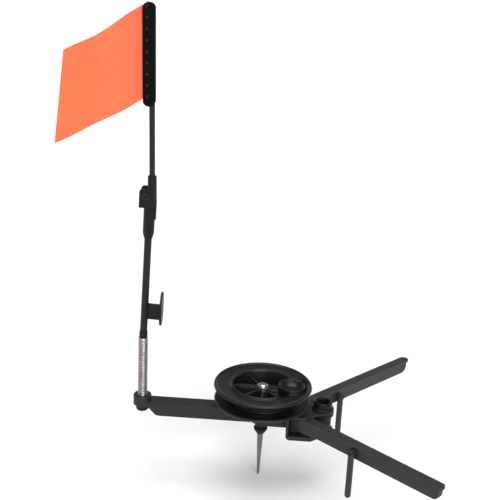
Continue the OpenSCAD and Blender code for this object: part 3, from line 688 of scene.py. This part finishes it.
class TIPUP_OT_spool(bpy.types.Operator):
    """Spool: the flange with its ridge, spokes and finger cup, and the drum below"""

    bl_idname = "tipup.spool"
    bl_label = "Spool"

    def execute(self, context):
        sizes, scene = context.scene.tipup_sizes, context.scene
        plastic = finish_of(scene, "moulded_abs_spool")
        moulded("spool_drum", "spool_base", "spool", plastic, sizes.edge)
        flange = surface("spool_flange", flange_points())
        add_piece("spool_flange", flange, plastic, "spool", ["spool_top"])
        return {"FINISHED"}


class TIPUP_OT_spring(bpy.types.Operator):
    """Close-coiled spring that the flag post bends on"""

    bl_idname = "tipup.spring"
    bl_label = "Spring"

    def execute(self, context):
        sizes = context.scene.tipup_sizes
        wire = sizes.wire
        low, high = SPRING_LOW.z + wire / 2, SPRING_HIGH.z - wire / 2
        coil = (SPRING_HIGH.x - SPRING_LOW.x) / 2 - wire / 2
        # helix: height grows evenly with the angle between two flat end turns
        steps = (sizes.turns + 1) * 36
        t = np.linspace(0, 1, steps + 1)
        angle = 2 * np.pi * (sizes.turns + 1) * t
        height = low + (high - low) * np.clip((t * (sizes.turns + 1) - 0.5) / sizes.turns, 0, 1)
        path = np.stack([POST_X + coil * np.cos(angle), coil * np.sin(angle), height], 1)
        points = tube(path, wire / 2)
        run = np.concatenate([[0], np.cumsum(np.linalg.norm(np.diff(path, axis=0), axis=1))])
        run = np.concatenate([run[:1], run, run[-1:]])
        around = np.linspace(0, np.pi * wire, points.shape[1])
        uv = np.stack(np.meshgrid(run, around, indexing="ij"), -1)
        mesh = surface("coiled_wire", points, uv)
        piece = add_piece(
            "coiled_wire",
            mesh,
            finish_of(context.scene, "drawn_spring_steel"),
            None,
            ["coil_spring"],
            sharp=60,
            weighted=False,
        )
        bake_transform(piece)
        return {"FINISHED"}


class TIPUP_OT_post(bpy.types.Operator):
    """Rods, ferrule, trigger and folding hinge of the flag post"""

    bl_idname = "tipup.post"
    bl_label = "Flag post"

    def execute(self, context):
        sizes, scene = context.scene.tipup_sizes, context.scene
        fitting = finish_of(scene, "moulded_nylon_fitting")
        rod = finish_of(scene, "pultruded_fibreglass")
        dark = finish_of(scene, "blackened_steel")
        edge, fine = sizes.edge, sizes.fine_edge
        moulded("rod_ferrule", "spring_ferrule", "flag_post", fitting, fine)
        moulded("post_rod", "lower_rod", "flag_post", rod, fine)
        moulded("trigger_plate", "trigger", "flag_post", fitting, edge)
        moulded("hinge_socket", "hinge_lower", "flag_post", fitting, fine)
        moulded("hinge_rivet", "hinge_screw", "flag_post", dark, fine)
        moulded("hinge_knuckle", "hinge_upper", "flag_arm", fitting, fine)
        moulded("flag_rod", "upper_rod", "flag_arm", rod, fine)
        return {"FINISHED"}


class TIPUP_OT_clamp(bpy.types.Operator):
    """Two-shell clamp that holds the flag, with its nine rivets"""

    bl_idname = "tipup.clamp"
    bl_label = "Flag clamp"

    def execute(self, context):
        sizes, scene = context.scene.tipup_sizes, context.scene
        plastic = finish_of(scene, "moulded_nylon_clamp")
        for side in ("front", "back"):
            name, node = f"clamp_shell_{side}", f"clamp_{side}"
            moulded(name, node, "flag_arm", plastic, sizes.edge)
        dark = finish_of(scene, "blackened_steel")
        moulded("clamp_studs", "clamp_rivets", "flag_arm", dark, sizes.fine_edge)
        return {"FINISHED"}


# the flag, in millimetres: its inner edge and top, its length along the lower edge and how much
# less the upper edge is, its height, how far the free edge hangs and how far the cloth bows out;
# and the share of its length that the clamp holds flat
FLAG_IN, FLAG_TOP = -2.75, 396.5
FLAG_LONG, FLAG_TAPER = 85.5, 10.2
FLAG_TALL, FLAG_DROP, FLAG_BOW = 82, 46, 7
FLAG_HELD = 0.09


class TIPUP_OT_flag(bpy.types.Operator):
    """Cloth flag held in the clamp"""

    bl_idname = "tipup.flag"
    bl_label = "Flag"

    def execute(self, context):
        sizes = context.scene.tipup_sizes
        # s runs from the clamp to the free edge and t from the bottom to the top; the cloth
        # falls away from the clamp as s grows and bows forward by a squared sine, with a
        # diagonal crease and a few shallow ripples on it
        s, t = np.meshgrid(np.linspace(0, 1, 121), np.linspace(0, 1, 101), indexing="ij")
        free = smooth_step(0.18, 0.25, s)
        x = FLAG_IN - s * (FLAG_LONG - FLAG_TAPER * t)
        bow = np.sin(np.pi * np.clip((s - FLAG_HELD) / (1 - FLAG_HELD), 0, 1)) ** 2
        crease = np.exp(-(((s - 0.62 + 0.28 * (1 - t)) / 0.035) ** 2)) * smooth_step(0.5, 0.3, t)
        ripple = np.sin(9.0 * s + 3.5 * t) * 0.5 + np.sin(5.0 * t - 6.0 * s) * 0.4
        y = -FLAG_BOW * bow - free * (1.3 * crease + 0.7 * ripple)
        z = FLAG_TOP - FLAG_TALL * (1 - t) - FLAG_DROP * s * (1.14 - 0.14 * s)
        z += (2 * t - 1) * free * np.cos(2.5 * np.pi * (s - 0.15))
        points = placed(np.stack([x, y, z], -1) * MM, arm_frame(sizes))
        size = (0.085, 0.082)
        uv = np.stack([s * size[0], t * size[1]], -1)
        cloth = woven_nylon(
            "woven_nylon_flag",
            context.scene.tipup_colours.flag,
            sizes.thread,
            sizes.hem,
            size,
        )
        mesh = surface("flag_cloth", points, uv)
        piece = add_piece(
            "flag_cloth", mesh, cloth, "flag_arm", ["flag"], weighted=False
        )
        thick = piece.modifiers.new("Cloth thickness", "SOLIDIFY")
        thick.thickness = sizes.cloth
        thick.offset = 0
        return {"FINISHED"}


class TIPUP_OT_stage(bpy.types.Operator):
    """Pale floor, soft studio light and the camera"""

    bl_idname = "tipup.stage"
    bl_label = "Stage"

    def execute(self, context):
        scene, look = context.scene, context.scene.tipup_view
        # floor: flat under the object, then rising as the cube of the distance to a low wall
        radius = np.concatenate([[0], np.linspace(3, 9, 25)])
        rise = 2.0 * np.clip((radius - 4) / 5, 0, 1) ** 3
        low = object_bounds()[0].z / MM - 0.6
        mesh = surface("floor", turned(np.stack([radius / MM, rise / MM + low], 1), 64))
        if mesh.polygons[0].normal.z < 0:
            mesh.flip_normals()
        paper, tree, shader, where = new_finish("matt_backdrop_paper")
        fibre = noise(tree, where, 40.0)
        tree.links.new(
            mixed(tree, fibre, shade(linear("#f4f4f4"), 0.97), shade(linear("#f8f8f8"), 1.0)),
            shader.inputs["Base Color"],
        )
        shader.inputs["Roughness"].default_value = 0.9
        shader.inputs["Specular IOR Level"].default_value = 0.1
        mesh.materials.append(paper)
        mesh.shade_smooth()
        floor = bpy.data.objects.new("floor", mesh)
        scene.collection.objects.link(floor)
        floor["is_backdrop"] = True

        for name, way, strength, spread in (
            ("top_light", (0.0, 0.05, 1.0), look.top_light, 50),
            ("key_light", (0.25, -1.0, 0.5), look.key_light, 45),
        ):
            lamp = bpy.data.lights.new(name, "SUN")
            lamp.energy = strength
            lamp.angle = math.radians(spread)
            light = bpy.data.objects.new(name, lamp)
            light.rotation_euler = Vector(way).to_track_quat("Z", "Y").to_euler()
            scene.collection.objects.link(light)
        world = bpy.data.worlds.new("soft_studio")
        world.use_nodes = True
        backing = world.node_tree.nodes["Background"]
        backing.inputs["Color"].default_value = (1.0, 1.0, 1.0, 1.0)
        backing.inputs["Strength"].default_value = look.fill
        scene.world = world
        scene.view_settings.view_transform = "Standard"

        a, e = look.azimuth, look.elevation
        back = Vector((math.sin(a) * math.cos(e), -math.cos(a) * math.cos(e), math.sin(e)))
        right = (-back).cross(Vector((0, 0, 1))).normalized()
        up = back.cross(right)
        x = right * math.cos(look.roll) + up * math.sin(look.roll)
        y = up * math.cos(look.roll) - right * math.sin(look.roll)
        camera = bpy.data.objects.new("camera", bpy.data.cameras.new("camera"))
        camera.data.lens = look.lens
        camera.data.sensor_width = 36.0
        camera.data.clip_start, camera.data.clip_end = 0.01, 60.0
        place = Matrix((x, y, back)).transposed().to_4x4()
        place.translation = Vector(look.target) + back * look.distance
        camera.matrix_world = place
        scene.collection.objects.link(camera)
        scene.camera = camera
        return {"FINISHED"}


OPERATORS = (
    TIPUP_OT_stand,
    TIPUP_OT_legs,
    TIPUP_OT_hardware,
    TIPUP_OT_spool,
    TIPUP_OT_spring,
    TIPUP_OT_post,
    TIPUP_OT_clamp,
    TIPUP_OT_flag,
    TIPUP_OT_stage,
)


class TIPUP_PT_build(bpy.types.Panel):
    """Lists the pieces and their sizes"""

    bl_idname = "TIPUP_PT_build"
    bl_label = "Ice fishing tip up"
    bl_space_type = "VIEW_3D"
    bl_region_type = "UI"
    bl_category = "Tip up"

    def draw(self, context):
        for group in ("tipup_sizes", "tipup_colours", "tipup_view"):
            values = getattr(context.scene, group)
            column = self.layout.column(align=True)
            for key in values.__annotations__:
                column.prop(values, key)
        for operator in OPERATORS:
            self.layout.operator(operator.bl_idname)


CLASSES = (TipUpSizes, TipUpColours, TipUpView, *OPERATORS, TIPUP_PT_build)


def register():
    """Registers the classes and puts their properties on the scene."""
    for item in CLASSES:
        bpy.utils.register_class(item)
    bpy.types.Scene.tipup_sizes = PointerProperty(type=TipUpSizes)
    bpy.types.Scene.tipup_colours = PointerProperty(type=TipUpColours)
    bpy.types.Scene.tipup_view = PointerProperty(type=TipUpView)


def unregister():
    """Takes the properties and the classes away again."""
    for key in ("tipup_sizes", "tipup_colours", "tipup_view"):
        delattr(bpy.types.Scene, key)
    for item in reversed(CLASSES):
        bpy.utils.unregister_class(item)


def main():
    register()
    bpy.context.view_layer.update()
    for operator in OPERATORS:
        group, name = operator.bl_idname.split(".")
        getattr(getattr(bpy.ops, group), name)()


if __name__ == "__main__":
    main()
